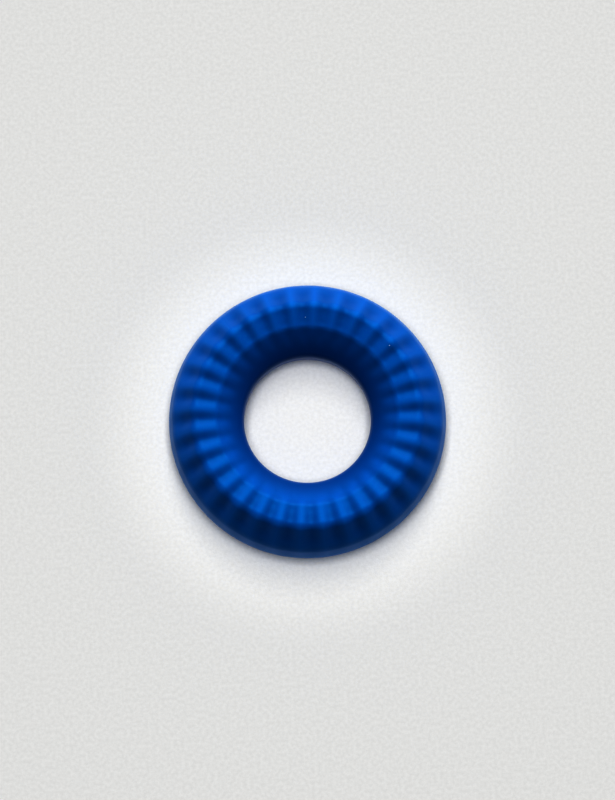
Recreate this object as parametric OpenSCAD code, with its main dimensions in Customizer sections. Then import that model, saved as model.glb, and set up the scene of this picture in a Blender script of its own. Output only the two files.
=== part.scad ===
// Friction ring for turning screw-down watch case backs by hand.
// One solid moulding in soft silicone rubber. Its section is a rounded many-sided
// figure, and its upper and lower sides carry radial flutes that bite on a case back.
// Units are millimetres. The ring rests on z = 0 with its axis on Z.

/* [Ring] */
// Outer diameter of the ring
ring_d = 70; // [60:1:84]
// Diameter of the hole through the middle
hole_d = 32; // [26:1:38]
// Height of the ring over its outer ridges
ring_h = 18.4; // [15:0.2:22]

/* [Section] */
// Width of the top face between the middles of its two ridges
face_w = 6; // [4.5:0.1:7.5]
// Distance of the middle of the top face outside the middle of the section
face_shift = 0; // [-0.6:0.1:0.6]
// Drop of the inner ridge below the outer ridge
face_dish = 1.2; // [0:0.1:1.6]
// Width of the flat on the outer ridge, on which the ring rests
ridge_flat = 1.2; // [0.8:0.1:2]
// Height of the plain band round the outside
band_h = 8.2; // [7:0.2:11]
// Distance that the outer band leans in at its upper and lower edges
band_lean = 1.1; // [0.7:0.1:2]
// Radius that rounds the middle and the edges of the outer band
band_r = 3; // [1:0.25:4]
// Height of the straight wall of the hole, before its edges are rounded
wall_h = 4.6; // [3:0.2:6]
// Radius that rounds the edges of the hole's wall
wall_r = 2.4; // [1:0.2:3]

/* [Flutes] */
// Number of flutes round the ring
flute_count = 32; // [26:1:36]
// Width of the crest left between two flutes at the outer ridge
crest_w = 1; // [0.6:0.1:1.6]
// Depth of the flutes in the top face at its outer ridge
face_flute_out = 0.8; // [0.5:0.05:1.2]
// Depth of the flutes in the top face at its inner ridge
face_flute_in = 0.55; // [0.4:0.05:0.9]
// Depth of the flutes in the outer slope where they meet the top face
slope_flute_out = 0.8; // [0.5:0.05:1.1]
// Depth of the flutes in the inner slope where they meet the top face
slope_flute_in = 0.5; // [0.3:0.05:0.8]
// Length of the flutes down the inner slope
inner_flute_l = 5; // [3:0.2:6]

/* [Hidden] */
$fn = 96;

ring_r = ring_d / 2;
hole_r = hole_d / 2;
mid_r = (ring_r + hole_r) / 2 + face_shift;
top_z = ring_h / 2;
band_z = band_h / 2;

// Height that the meeting point of the outer band's two leaning sides stands outside its rounded middle
band_side = [band_r - band_lean, band_z];
band_angle = atan2(band_side.y, band_side.x) - acos(band_r / norm(band_side));
band_tip = band_r / cos(band_angle) - band_r;

// Corners of the section above mid-height, as [radius, height]
outer_band = [ring_r + band_tip, 0];
outer_shoulder = [ring_r - band_lean, band_z];
outer_ridge = [mid_r + face_w / 2 + ridge_flat / 2, top_z];
flat_edge = outer_ridge - [ridge_flat, 0];
inner_ridge = [mid_r - face_w / 2, top_z - face_dish];
wall_edge = [hole_r, wall_h / 2];

// Even, so that the full diameter is reached at mid-height
arc_steps = 4;
flute_pitch = 360 / flute_count;
// A flute cutter runs past both ends of the slope that it cuts
cutter_over = 1.5;

function unit(v) = v / norm(v);
function turned(v, a) = [v.x * cos(a) - v.y * sin(a), v.x * sin(a) + v.y * cos(a)];
function mirrored(p) = [p.x, -p.y];

// Arc of radius r that rounds the corner at p between its neighbours a and b
function rounded_corner(a, p, b, r) =
    let (
        to_a = unit(a - p),
        to_b = unit(b - p),
        half = acos(to_a * to_b) / 2,
        centre = p + unit(to_a + to_b) * r / sin(half),
        start = p + to_a * r / tan(half) - centre,
        sweep = 180 - 2 * half
    )
    [for (i = [0 : arc_steps]) centre + turned(start, sweep * i / arc_steps)];

outline = concat(
    rounded_corner(mirrored(outer_shoulder), outer_band, outer_shoulder, band_r),
    rounded_corner(outer_band, outer_shoulder, outer_ridge, band_r),
    [outer_ridge, flat_edge, inner_ridge],
    rounded_corner(inner_ridge, wall_edge, mirrored(wall_edge), wall_r),
    rounded_corner(wall_edge, mirrored(wall_edge), mirrored(inner_ridge), wall_r),
    [mirrored(inner_ridge), mirrored(flat_edge), mirrored(outer_ridge)],
    rounded_corner(mirrored(outer_ridge), mirrored(outer_shoulder), outer_band, band_r)
);

// Radius of a round cutter for a groove of this depth that leaves the crest at radius r
function cutter_r(r, depth) =
    let (half_w = r * (tan(flute_pitch / 2) - crest_w / 2 / outer_ridge.x))
    (half_w * half_w + depth * depth) / (2 * depth);

// Round cutter along the slope from p to q. It cuts to depths d1 and d2 and has radii r1 and r2 there
module flute_cutter(p, q, d1, d2, r1, r2) {
    along = unit(q - p);
    out = [along.y, -along.x];
    a = p + out * (r1 - d1);
    b = q + out * (r2 - d2);
    axis = b - a;
    grow = (r2 - r1) / norm(axis) * cutter_over;
    translate([a.x, 0, a.y])
        rotate([0, atan2(axis.x, axis.y), 0])
            translate([0, 0, -cutter_over])
                cylinder(h = norm(axis) + 2 * cutter_over, r1 = r1 - grow, r2 = r2 + grow);
}

// The three cutters of one flute: outer slope, top face and inner slope
module flute_cutters() {
    face_r_out = cutter_r(outer_ridge.x, face_flute_out);
    face_r_in = cutter_r(inner_ridge.x, face_flute_in);
    slope_r_out = cutter_r(outer_ridge.x, slope_flute_out);
    slope_r_in = cutter_r(inner_ridge.x, slope_flute_in);
    flute_end = inner_ridge + unit(wall_edge - inner_ridge) * inner_flute_l;
    flute_cutter(outer_shoulder, outer_ridge, 0, slope_flute_out, slope_r_out, slope_r_out);
    flute_cutter(outer_ridge, inner_ridge, face_flute_out, face_flute_in, face_r_out, face_r_in);
    flute_cutter(inner_ridge, flute_end, slope_flute_in, 0, slope_r_in, slope_r_in);
}

// The whole ring: the section turned round Z, with its flutes cut in the upper and lower sides
module friction_ring() {
    color("royalblue")
        translate([0, 0, top_z])
            difference() {
                rotate_extrude() polygon(outline);
                for (i = [0 : flute_count - 1]) {
                    rotate([0, 0, i * flute_pitch]) {
                        flute_cutters();
                        mirror([0, 0, 1]) flute_cutters();
                    }
                }
            }
}

friction_ring();
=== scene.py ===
"""Case back friction ring: one soft moulding in blue silicone, lying on a sheet of white paper.

The ring is pressed on a screw-down watch case back and turned by hand. Its section is a rounded
figure with a dished top face between two ridges, and radial flutes run over both ridges on the
upper and the lower side. Sizes are in millimetres and turn to metres where meshes are made.
"""

import logging
import math
from dataclasses import dataclass, field
from enum import Enum

import bmesh
import bpy
from mathutils import Matrix, Vector


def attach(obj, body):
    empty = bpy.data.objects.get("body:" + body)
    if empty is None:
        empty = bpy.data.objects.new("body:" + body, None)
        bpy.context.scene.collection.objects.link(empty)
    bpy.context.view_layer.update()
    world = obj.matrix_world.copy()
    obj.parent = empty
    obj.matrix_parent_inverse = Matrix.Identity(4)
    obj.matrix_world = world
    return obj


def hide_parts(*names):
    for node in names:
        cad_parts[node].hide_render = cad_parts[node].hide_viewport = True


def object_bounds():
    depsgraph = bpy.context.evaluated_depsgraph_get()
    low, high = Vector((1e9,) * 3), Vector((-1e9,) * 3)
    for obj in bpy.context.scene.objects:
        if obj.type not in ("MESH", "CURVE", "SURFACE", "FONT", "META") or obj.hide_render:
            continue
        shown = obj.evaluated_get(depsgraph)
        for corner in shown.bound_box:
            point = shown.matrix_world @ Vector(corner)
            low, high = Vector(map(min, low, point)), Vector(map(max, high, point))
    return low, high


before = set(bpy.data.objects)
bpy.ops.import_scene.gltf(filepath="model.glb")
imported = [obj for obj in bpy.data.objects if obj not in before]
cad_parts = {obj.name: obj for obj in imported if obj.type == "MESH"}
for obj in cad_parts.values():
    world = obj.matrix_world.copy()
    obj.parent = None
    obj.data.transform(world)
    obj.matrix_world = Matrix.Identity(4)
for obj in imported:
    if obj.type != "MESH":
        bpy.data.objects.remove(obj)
CAD_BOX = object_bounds()
MM = 0.001
# Name of the mesh attribute that holds where shade is painted on the flutes and the bore
PAINTED_SHADE = "painted_shade"
LOG = logging.getLogger("friction_ring")


class Slot(Enum):
    """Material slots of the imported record."""

    SILICONE = "blue_silicone"


def linear(hex_colour: str) -> tuple[float, float, float, float]:
    """Turns an sRGB colour to linear values.

    Args:
        hex_colour: six hexadecimal digits, such as "1a2b3c".

    Returns:
        Linear red, green and blue, and an alpha of one.
    """
    shares = [int(hex_colour[start : start + 2], 16) / 255 for start in (0, 2, 4)]
    red, green, blue = [
        share / 12.92 if share <= 0.04045 else ((share + 0.055) / 1.055) ** 2.4 for share in shares
    ]
    return (red, green, blue, 1.0)


def eased(part: float) -> float:
    """Eases a share that runs from nought to one, so that it starts and ends gently.

    Args:
        part: the share, held between nought and one.

    Returns:
        The eased share.
    """
    part = min(max(part, 0.0), 1.0)
    return part * part * (3 - 2 * part)


def add(
    tree: bpy.types.NodeTree,
    kind: str,
    settings: dict[str | int, object] | None = None,
    links: dict[str | int, bpy.types.NodeSocket] | None = None,
) -> bpy.types.Node:
    """Adds a node with its settings and links.

    Args:
        tree: node tree that takes the node.
        kind: Blender's name of the node type.
        settings: values by socket name or number, or by the node's own property.
        links: output sockets by the name or number of the input that each one feeds.

    Returns:
        The new node.
    """
    node = tree.nodes.new(kind)
    for name, value in (settings or {}).items():
        if isinstance(name, str) and hasattr(node, name):
            setattr(node, name, value)
        else:
            node.inputs[name].default_value = value
    for name, output in (links or {}).items():
        tree.links.new(output, node.inputs[name])
    return node


@dataclass(frozen=True)
class MouldedSilicone:
    """Silicone rubber, pigmented blue and moulded against a blasted steel cavity.

    The blasted cavity leaves a fine satin tooth, so light spreads in broad soft patches and no
    sharp highlight forms. Light enters the rubber a little way, which softens the flutes' edges,
    and its tacky skin holds a few specks of dust.

    Attributes:
        colour: colour of the skin where the pigment lies thinnest.
        deep_colour: colour of the skin where the pigment lies thickest.
        painted_shade_colour: painted shade, a darker colour in the bore and the depth of the flutes.
        dust_colour: colour of a speck of dust.
        gloss_colour: tint of the satin sheen seen straight on.
        gloss_level: strength of the sheen; a half is what the refractive index alone gives.
        roughness: middle roughness of the skin.
        gloss_range: how far the roughness strays either way.
        ior: refractive index of silicone rubber.
        scatter_share: share of the light that strays inside the rubber.
        scatter_mm: how far blue light strays inside the rubber.
        scatter_reach: how far red, green and blue light stray, as shares of scatter_mm.
        tooth_mm: grain of the blasted cavity.
        tooth_detail: number of finer layers in the grain.
        tooth_height_mm: height of the grain.
        tooth_strength: share of that height that shows.
        mottle_mm: size of the patches of pigment.
        mottle_detail: number of finer layers in the patches.
        dust_mm: size of the cells that may hold one speck.
        speck_part: radius of a speck as a share of its cell.
        speck_share: share of the cells that hold a speck.
    """

    colour: str = "0077cf"
    deep_colour: str = "0071c5"
    painted_shade_colour: str = "00539d"
    dust_colour: str = "c9d6ea"
    gloss_colour: str = "00bcff"
    gloss_level: float = 0.65
    roughness: float = 0.42
    gloss_range: float = 0.04
    ior: float = 1.41
    scatter_share: float = 0.12
    scatter_mm: float = 0.6
    scatter_reach: tuple[float, float, float] = (0.2, 0.45, 1.0)
    tooth_mm: float = 0.16
    tooth_detail: float = 2.0
    tooth_height_mm: float = 0.02
    tooth_strength: float = 0.12
    mottle_mm: float = 9.0
    mottle_detail: float = 3.0
    dust_mm: float = 4.2
    speck_part: float = 0.035
    speck_share: float = 0.16

    def build(self) -> bpy.types.Material:
        """Makes the material.

        Returns:
            The silicone's material.
        """
        material = bpy.data.materials.new("moulded_blue_silicone")
        material.use_nodes = True
        tree = material.node_tree
        tree.nodes.clear()
        place = add(tree, "ShaderNodeTexCoord").outputs["Object"]
        # Pigment that settled a little unevenly in the mould
        mottle = add(
            tree,
            "ShaderNodeTexNoise",
            {"Scale": 1 / (self.mottle_mm * MM), "Detail": self.mottle_detail},
            {"Vector": place},
        )
        pigment = add(
            tree,
            "ShaderNodeMix",
            {"data_type": "RGBA", 6: linear(self.deep_colour), 7: linear(self.colour)},
            {0: mottle.outputs[0]},
        )
        # Painted shade: the flutes' floors and the bore are painted a darker blue, where shade falls
        painted_shade = add(tree, "ShaderNodeAttribute", {"attribute_name": PAINTED_SHADE})
        pigment_with_painted_shade = add(
            tree,
            "ShaderNodeMix",
            {"data_type": "RGBA", 7: linear(self.painted_shade_colour)},
            {0: painted_shade.outputs["Fac"], 6: pigment.outputs[2]},
        )
        specks = self.dust(tree, place)
        colour = add(
            tree,
            "ShaderNodeMix",
            {"data_type": "RGBA", 7: linear(self.dust_colour)},
            {0: specks, 6: pigment_with_painted_shade.outputs[2]},
        )
        # Satin tooth from the blasted cavity, with slightly glossier and duller patches
        tooth = add(
            tree,
            "ShaderNodeTexNoise",
            {"Scale": 1 / (self.tooth_mm * MM), "Detail": self.tooth_detail},
            {"Vector": place},
        )
        gloss = add(
            tree,
            "ShaderNodeMapRange",
            {"To Min": self.roughness - self.gloss_range, "To Max": self.roughness + self.gloss_range},
            {"Value": mottle.outputs[0]},
        )
        bump = add(
            tree,
            "ShaderNodeBump",
            {"Strength": self.tooth_strength, "Distance": self.tooth_height_mm * MM},
            {"Height": tooth.outputs[0]},
        )
        shader = add(
            tree,
            "ShaderNodeBsdfPrincipled",
            {
                "IOR": self.ior,
                "Specular IOR Level": self.gloss_level,
                "Specular Tint": linear(self.gloss_colour),
                "Subsurface Weight": self.scatter_share,
                "Subsurface Radius": self.scatter_reach,
                "Subsurface Scale": self.scatter_mm * MM,
            },
            {"Base Color": colour.outputs[2], "Roughness": gloss.outputs[0], "Normal": bump.outputs[0]},
        )
        add(tree, "ShaderNodeOutputMaterial", links={"Surface": shader.outputs[0]})
        return material

    def dust(self, tree: bpy.types.NodeTree, place: bpy.types.NodeSocket) -> bpy.types.NodeSocket:
        """Adds a few specks of dust, each in a cell of its own.

        Args:
            tree: the material's nodes.
            place: Object coordinates.

        Returns:
            One on a speck and zero elsewhere.
        """
        cells = add(tree, "ShaderNodeTexVoronoi", {"Scale": 1 / (self.dust_mm * MM)}, {"Vector": place})
        # A speck is about 0.3 mm across, and only one cell in six holds one
        near = add(
            tree,
            "ShaderNodeMath",
            {"operation": "LESS_THAN", 1: self.speck_part},
            {0: cells.outputs["Distance"]},
        )
        split = add(tree, "ShaderNodeSeparateColor", links={"Color": cells.outputs["Color"]})
        chosen = add(
            tree,
            "ShaderNodeMath",
            {"operation": "LESS_THAN", 1: self.speck_share},
            {0: split.outputs[0]},
        )
        speck = add(
            tree,
            "ShaderNodeMath",
            {"operation": "MULTIPLY"},
            {0: near.outputs[0], 1: chosen.outputs[0]},
        )
        return speck.outputs[0]


@dataclass(frozen=True)
class PressedPaper:
    """White drawing paper, pressed between felts: matt, with a fine grain of soft hollows.

    Attributes:
        colour: colour of the sheet.
        painted_light_colour: painted light, a lighter colour of the sheet round the ring.
        grain_colour: shade that multiplies the colour on the rises of the grain.
        grain_mm: size of the grain that the felts leave.
        grain_detail: number of finer layers in the grain.
        grain_limits: heights of the grain at which the shade sets in and is full.
        tooth_mm: size of the finer tooth of the fibres.
        tooth_detail: number of finer layers in the tooth.
        relief_mm: height of the grain and the tooth together.
        relief_strength: share of that height that shows.
        roughness: roughness of the sheet, which is matt.
        gloss_level: strength of the sheet's faint sheen.
        painted_glow: distances in mm from the ring's axis between which the painted light fades out.
    """

    colour: str = "dcdcdb"
    painted_light_colour: str = "e8e7e4"
    grain_colour: str = "f8f8f8"
    grain_mm: float = 0.9
    grain_detail: float = 5.0
    grain_limits: tuple[float, float] = (0.35, 0.65)
    tooth_mm: float = 0.35
    tooth_detail: float = 2.0
    relief_mm: float = 0.12
    relief_strength: float = 0.4
    roughness: float = 0.95
    gloss_level: float = 0.1
    painted_glow: tuple[float, float] = (36.0, 58.0)

    def build(self) -> bpy.types.Material:
        """Makes the material.

        Returns:
            The paper's material.
        """
        material = bpy.data.materials.new("pressed_white_paper")
        material.use_nodes = True
        tree = material.node_tree
        tree.nodes.clear()
        place = add(tree, "ShaderNodeTexCoord").outputs["Object"]
        grain = add(
            tree,
            "ShaderNodeTexNoise",
            {"Scale": 1 / (self.grain_mm * MM), "Detail": self.grain_detail},
            {"Vector": place},
        )
        tooth = add(
            tree,
            "ShaderNodeTexNoise",
            {"Scale": 1 / (self.tooth_mm * MM), "Detail": self.tooth_detail},
            {"Vector": place},
        )
        height = add(
            tree,
            "ShaderNodeMath",
            {"operation": "ADD"},
            {0: grain.outputs[0], 1: tooth.outputs[0]},
        )
        # Painted light: the sheet is painted lighter round the ring
        away = add(tree, "ShaderNodeVectorMath", {"operation": "LENGTH"}, {0: place})
        painted_glow = add(
            tree,
            "ShaderNodeMapRange",
            {
                "interpolation_type": "SMOOTHSTEP",
                "From Min": self.painted_glow[0] * MM,
                "From Max": self.painted_glow[1] * MM,
                "To Min": 1.0,
                "To Max": 0.0,
            },
            {"Value": away.outputs["Value"]},
        )
        colour = add(
            tree,
            "ShaderNodeMix",
            {"data_type": "RGBA", 6: linear(self.colour), 7: linear(self.painted_light_colour)},
            {0: painted_glow.outputs[0]},
        )
        # Handling greys the rises of the grain a little
        rises = add(
            tree,
            "ShaderNodeMapRange",
            {"From Min": self.grain_limits[0], "From Max": self.grain_limits[1]},
            {"Value": grain.outputs[0]},
        )
        grey = add(
            tree,
            "ShaderNodeMix",
            {"data_type": "RGBA", "blend_type": "MULTIPLY", 7: linear(self.grain_colour)},
            {0: rises.outputs[0], 6: colour.outputs[2]},
        )
        bump = add(
            tree,
            "ShaderNodeBump",
            {"Strength": self.relief_strength, "Distance": self.relief_mm * MM},
            {"Height": height.outputs[0]},
        )
        shader = add(
            tree,
            "ShaderNodeBsdfPrincipled",
            {"Roughness": self.roughness, "Specular IOR Level": self.gloss_level},
            {"Base Color": grey.outputs[2], "Normal": bump.outputs[0]},
        )
        add(tree, "ShaderNodeOutputMaterial", links={"Surface": shader.outputs[0]})
        return material


@dataclass(frozen=True)
class Corner:
    """A corner of the ring's section before it is softened.

    Attributes:
        radius: distance from the ring's axis in mm.
        height: height over mid-height in mm.
        soften: radius of the arc that rounds the corner, in mm.
    """

    radius: float
    height: float
    soften: float

    def below(self) -> "Corner":
        """Mirrors the corner to the lower side.

        Returns:
            The same corner below mid-height.
        """
        return Corner(self.radius, -self.height, self.soften)


@dataclass
class FrictionRing:
    """The whole tool: a fluted ring, the same on its upper and lower sides.

    Attributes:
        outer_r: radius over the outer band, in mm.
        half_h: half the height over the outer ridges, in mm.
        hole_r: radius of the hole, in mm.
        flutes: number of flutes round the ring.
        arc_steps: segments in each rounded corner.
        straight_step: length of the steps along the straight sides of the section, in mm, near enough.
        steps_a_flute: steps of the turned mesh in one flute.
        band_soften: radius that rounds the outer band and its shoulders, in mm.
        ridge_soften: radius that rounds the two ridges, in mm.
        wall_soften: radius that rounds the edges of the hole's wall, in mm.
        outer_shoulder: radius and height over mid-height of the outer band's edge, in mm.
        outer_ridge_r: radius of the outer ridge, in mm.
        inner_ridge_r: radius of the inner ridge, in mm.
        dish: drop of the inner ridge below the outer ridge, in mm.
        wall_z: height over mid-height of the edge of the hole's wall, in mm.
        parting_mm: half the width of the parting line in mm; it stands proud by half of that.
        crest: power that narrows the flutes and widens the crests.
        painted_shade_spread: power that widens the painted shade across a flute's floor.
        full_depth: depth in mm at which the painted shade on a flute's floor is full.
        flute_shade: share of painted shade on a flute's floor.
        bore_shade: radii in mm between which the painted shade of the bore sets in.
        depths: radius and depth in mm at points along a flute's floor, from its inner end outwards.
        finish: the silicone.
    """

    outer_r: float
    half_h: float
    hole_r: float = 16.0
    flutes: int = 32
    arc_steps: int = 8
    straight_step: float = 0.45
    steps_a_flute: int = 12
    band_soften: float = 3.3
    ridge_soften: float = 2.6
    wall_soften: float = 2.4
    outer_shoulder: tuple[float, float] = (33.9, 4.1)
    outer_ridge_r: float = 28.5
    inner_ridge_r: float = 22.5
    dish: float = 1.25
    wall_z: float = 2.3
    parting_mm: float = 0.12
    crest: float = 1.25
    painted_shade_spread: float = 0.6
    full_depth: float = 0.55
    flute_shade: float = 0.6
    bore_shade: tuple[float, float] = (22.6, 16.4)
    depths: tuple[tuple[float, float], ...] = (
        (18.0, 0.0),
        (20.9, 0.22),
        (22.5, 0.29),
        (24.4, 0.44),
        (26.8, 0.58),
        (28.7, 0.54),
        (31.0, 0.62),
        (33.2, 0.36),
        (35.0, 0.0),
    )
    finish: MouldedSilicone = field(default_factory=MouldedSilicone)

    def corners(self) -> list[Corner]:
        """Lists the section's corners, from the outer band over the top to the hole and back.

        Returns:
            The corners in order round the section.
        """
        outer_band = Corner(self.outer_r, 0.0, self.band_soften)
        top = [
            Corner(*self.outer_shoulder, self.band_soften),
            Corner(self.outer_ridge_r, self.half_h, self.ridge_soften),
            Corner(self.inner_ridge_r, self.half_h - self.dish, self.ridge_soften),
            Corner(self.hole_r, self.wall_z, self.wall_soften),
        ]
        return [outer_band, *top, *[corner.below() for corner in reversed(top)]]

    def draw_section(self, mesh: bmesh.types.BMesh) -> None:
        """Draws the softened section as a closed wire in the XZ plane.

        Args:
            mesh: takes the section's edges.
        """
        corners = self.corners()
        points = [mesh.verts.new((corner.radius * MM, 0.0, corner.height * MM)) for corner in corners]
        for start, end in zip(points, points[1:] + points[:1]):
            mesh.edges.new((start, end))
        for index, (point, corner) in enumerate(zip(points, corners)):
            before = Vector((corners[index - 1].radius, corners[index - 1].height))
            after_corner = corners[(index + 1) % len(corners)]
            after = Vector((after_corner.radius, after_corner.height))
            here = Vector((corner.radius, corner.height))
            opening = (before - here).angle(after - here)
            bmesh.ops.bevel(
                mesh,
                geom=[point],
                offset=corner.soften / math.tan(opening / 2) * MM,
                offset_type="OFFSET",
                affect="VERTICES",
                segments=self.arc_steps,
                profile=0.5,
                material=-1,
            )
        for edge in list(mesh.edges):
            cuts = round(edge.calc_length() / (self.straight_step * MM)) - 1
            if cuts > 0:
                bmesh.ops.subdivide_edges(mesh, edges=[edge], cuts=cuts)

    def raise_parting_line(self, mesh: bmesh.types.BMesh) -> None:
        """Raises the faint line that the two halves of the mould leave round the outside.

        Args:
            mesh: the softened section, which has a point at mid-height on the outer band.
        """
        tip = max(mesh.verts, key=lambda point: point.co.x)
        for edge in list(tip.link_edges):
            bmesh.utils.edge_split(edge, tip, self.parting_mm * MM / edge.calc_length())
        tip.co.x += self.parting_mm * MM / 2

    def flute_depth(self, radius: float) -> float:
        """Gives the depth of a flute's floor at a radius, in mm.

        Args:
            radius: distance from the ring's axis in mm.

        Returns:
            The depth below the crests.
        """
        for (start, low), (end, high) in zip(self.depths, self.depths[1:]):
            if start <= radius <= end:
                return low + (high - low) * eased((radius - start) / (end - start))
        return 0.0

    def press_flutes(self, mesh: bmesh.types.BMesh) -> None:
        """Presses the flutes into the turned ring, each point along its own normal, and marks where
        shade is painted.

        Args:
            mesh: the plain ring, with its normals up to date.
        """
        painted_shade = mesh.verts.layers.float.new(PAINTED_SHADE)
        shade_start, shade_end = self.bore_shade
        moves = []
        for point in mesh.verts:
            radius = math.hypot(point.co.x, point.co.y) / MM
            wave = (1 + math.cos(math.atan2(point.co.y, point.co.x) * self.flutes)) / 2
            depth = self.flute_depth(radius)
            moves.append(point.normal * (depth * wave**self.crest * MM))
            # Painted shade: darker on the flutes' floors and towards the bore
            in_flute = min(depth / self.full_depth, 1.0) * wave**self.painted_shade_spread
            in_bore = eased((shade_start - radius) / (shade_start - shade_end))
            point[painted_shade] = max(self.flute_shade * in_flute, in_bore)
        for point, move in zip(mesh.verts, moves):
            point.co -= move

    def fit(self, mesh: bmesh.types.BMesh) -> None:
        """Brings the softened ring to its full outer size and height, standing on z = 0.

        Args:
            mesh: the fluted ring, centred on mid-height.
        """
        high = max(point.co.z for point in mesh.verts)
        wide = max(math.hypot(point.co.x, point.co.y) for point in mesh.verts)
        grow = self.outer_r * MM / wide
        bmesh.ops.scale(mesh, vec=(grow, grow, self.half_h * MM / high), verts=mesh.verts)
        bmesh.ops.translate(mesh, vec=(0.0, 0.0, self.half_h * MM), verts=mesh.verts)

    def build(self) -> bpy.types.Object:
        """Makes the ring's mesh and dresses it.

        Returns:
            The ring, standing for the CAD node.
        """
        mesh = bmesh.new()
        self.draw_section(mesh)
        self.raise_parting_line(mesh)
        bmesh.ops.spin(
            mesh,
            geom=[*mesh.verts, *mesh.edges],
            cent=(0.0, 0.0, 0.0),
            axis=(0.0, 0.0, 1.0),
            dvec=(0.0, 0.0, 0.0),
            angle=math.tau,
            steps=self.flutes * self.steps_a_flute,
            use_merge=True,
        )
        bmesh.ops.recalc_face_normals(mesh, faces=mesh.faces)
        mesh.normal_update()
        self.press_flutes(mesh)
        self.fit(mesh)
        for face in mesh.faces:
            face.smooth = True
        data = bpy.data.meshes.new("silicone_ring")
        mesh.to_mesh(data)
        mesh.free()
        piece = bpy.data.objects.new("silicone_ring", data)
        bpy.context.scene.collection.objects.link(piece)
        data.materials.append(self.finish.build())
        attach(piece, "root")
        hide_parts("friction_ring")
        return piece


@dataclass(frozen=True)
class SoftBox:
    """A soft light that hangs overhead or on the far side and points at the ring.

    Attributes:
        name: name of the lamp.
        elevation: angle over the paper, in degrees.
        azimuth: angle east of the far side, in degrees.
        wide_mm: size of its face from side to side.
        tall_mm: size of its face from the top to the bottom.
        power: power in watts.
        distance_mm: distance from the ring.
    """

    name: str
    elevation: float
    azimuth: float
    wide_mm: float
    tall_mm: float
    power: float
    distance_mm: float = 1200.0

    def hang(self, lit: bpy.types.Object) -> None:
        """Hangs the lamp.

        Args:
            lit: the only object that the lamp lights; every object still casts its shadow.
        """
        data = bpy.data.lights.new(self.name, "AREA")
        data.shape = "RECTANGLE"
        data.size = self.wide_mm * MM
        data.size_y = self.tall_mm * MM
        data.energy = self.power
        lamp = bpy.data.objects.new(self.name, data)
        bpy.context.scene.collection.objects.link(lamp)
        up = math.radians(self.elevation)
        turn = math.radians(self.azimuth)
        towards = Vector((math.sin(turn) * math.cos(up), math.cos(turn) * math.cos(up), math.sin(up)))
        lamp.location = towards * self.distance_mm * MM
        lamp.rotation_euler = towards.to_track_quat("Z", "Y").to_euler()
        receivers = bpy.data.collections.new(f"lit_by_{self.name}")
        receivers.objects.link(lit)
        lamp.light_linking.receiver_collection = receivers


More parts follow.
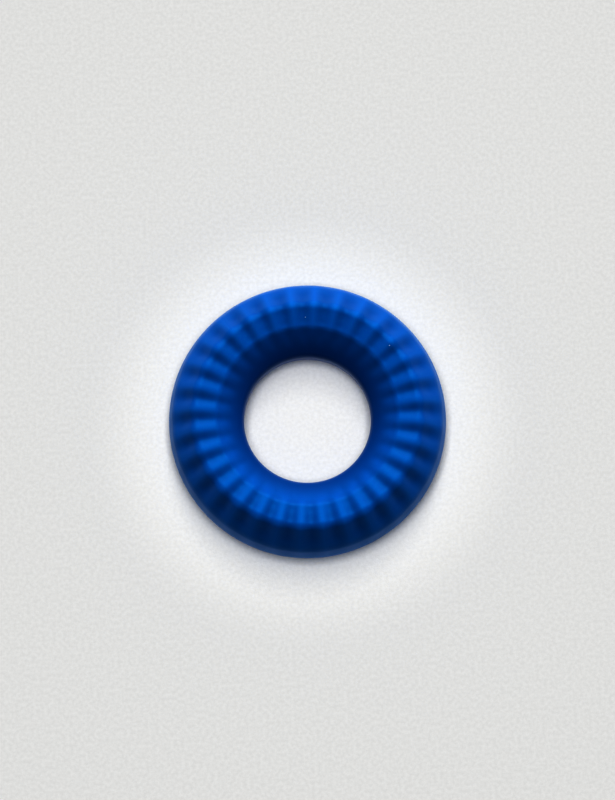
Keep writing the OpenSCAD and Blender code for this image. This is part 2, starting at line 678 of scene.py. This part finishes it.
@dataclass
class Studio:
    """Paper, soft light from the far side, and the camera nearly overhead.

    The ring's light stands lower and models it strongly. The paper has lights of its own, a box
    overhead and a strip on the far side, so the shadow on it stays soft and short.

    Attributes:
        elevation: angle of the camera over the paper, in degrees.
        azimuth: angle of the camera east of the near side, in degrees.
        roll: turn of the camera about its own axis, in degrees.
        distance_mm: distance from the camera to the middle of the ring.
        frame_mm: width that the picture's longer side takes in at the ring.
        sensor_mm: width of the camera's sensor.
        drop: shift of the lens, as a share of the picture's longer side.
        contrast: power by which the picture's contrast is raised.
        fill: strength of the even light from all round.
        ring_light: soft box that lights the ring alone.
        paper_light: soft box overhead that lights the paper alone.
        paper_strip: soft box on the far side that lights the paper alone.
        sheet_mm: length of the square sheet's sides.
        paper: the paper's finish.
    """

    elevation: float = 79.75
    azimuth: float = 0.5
    roll: float = 2.8
    distance_mm: float = 950.0
    frame_mm: float = 202.2
    sensor_mm: float = 36.0
    drop: float = 0.0263
    contrast: float = 1.6
    fill: float = 0.1
    ring_light: SoftBox = SoftBox("ring_light", 43.5, 7.5, 1200.0, 1200.0, 22.8)
    paper_light: SoftBox = SoftBox("paper_light", 84.0, 186.0, 420.0, 420.0, 11.6)
    paper_strip: SoftBox = SoftBox("paper_strip", 68.0, 6.0, 300.0, 800.0, 5.4)
    sheet_mm: float = 3000.0
    paper: PressedPaper = field(default_factory=PressedPaper)

    def lay_paper(self) -> bpy.types.Object:
        """Lays the paper under the ring.

        Returns:
            The sheet.
        """
        mesh = bmesh.new()
        bmesh.ops.create_grid(mesh, x_segments=1, y_segments=1, size=self.sheet_mm / 2 * MM)
        data = bpy.data.meshes.new("paper")
        mesh.to_mesh(data)
        mesh.free()
        sheet = bpy.data.objects.new("paper", data)
        bpy.context.scene.collection.objects.link(sheet)
        data.materials.append(self.paper.build())
        return sheet

    def light(self, ring: bpy.types.Object, sheet: bpy.types.Object) -> None:
        """Hangs the soft boxes and fills in from all round.

        Args:
            ring: the friction ring.
            sheet: the paper that it lies on.
        """
        self.ring_light.hang(ring)
        self.paper_light.hang(sheet)
        self.paper_strip.hang(sheet)
        world = bpy.data.worlds.new("room")
        world.use_nodes = True
        sky = world.node_tree.nodes["Background"]
        sky.inputs["Color"].default_value = (1.0, 1.0, 1.0, 1.0)
        sky.inputs["Strength"].default_value = self.fill
        bpy.context.scene.world = world

    def shoot(self) -> None:
        """Sets up the camera and the contrast of the picture."""
        low, high = CAD_BOX
        lens = bpy.data.cameras.new("camera")
        lens.sensor_width = self.sensor_mm
        lens.lens = lens.sensor_width * self.distance_mm / self.frame_mm
        lens.shift_y = self.drop
        camera = bpy.data.objects.new("camera", lens)
        bpy.context.scene.collection.objects.link(camera)
        up = math.radians(self.elevation)
        turn = math.radians(self.azimuth)
        back = Vector((math.sin(turn) * math.cos(up), -math.cos(turn) * math.cos(up), math.sin(up)))
        aim = back.to_track_quat("Z", "Y").to_matrix().to_4x4()
        camera.matrix_world = (
            Matrix.Translation((low + high) / 2 + back * self.distance_mm * MM)
            @ aim
            @ Matrix.Rotation(math.radians(-self.roll), 4, "Z")
        )
        scene = bpy.context.scene
        scene.camera = camera
        scene.view_settings.view_transform = "Standard"
        scene.view_settings.gamma = 1 / self.contrast


def main() -> None:
    """Builds the ring and the studio round it."""
    low, high = CAD_BOX
    ring = FrictionRing(outer_r=(high.x - low.x) / 2 / MM, half_h=(high.z - low.z) / 2 / MM)
    piece = ring.build()
    LOG.info("%s: %d faces", piece.name, len(piece.data.polygons))
    studio = Studio()
    sheet = studio.lay_paper()
    studio.light(piece, sheet)
    studio.shoot()


if __name__ == "__main__":
    logging.basicConfig(level=logging.INFO)
    main()
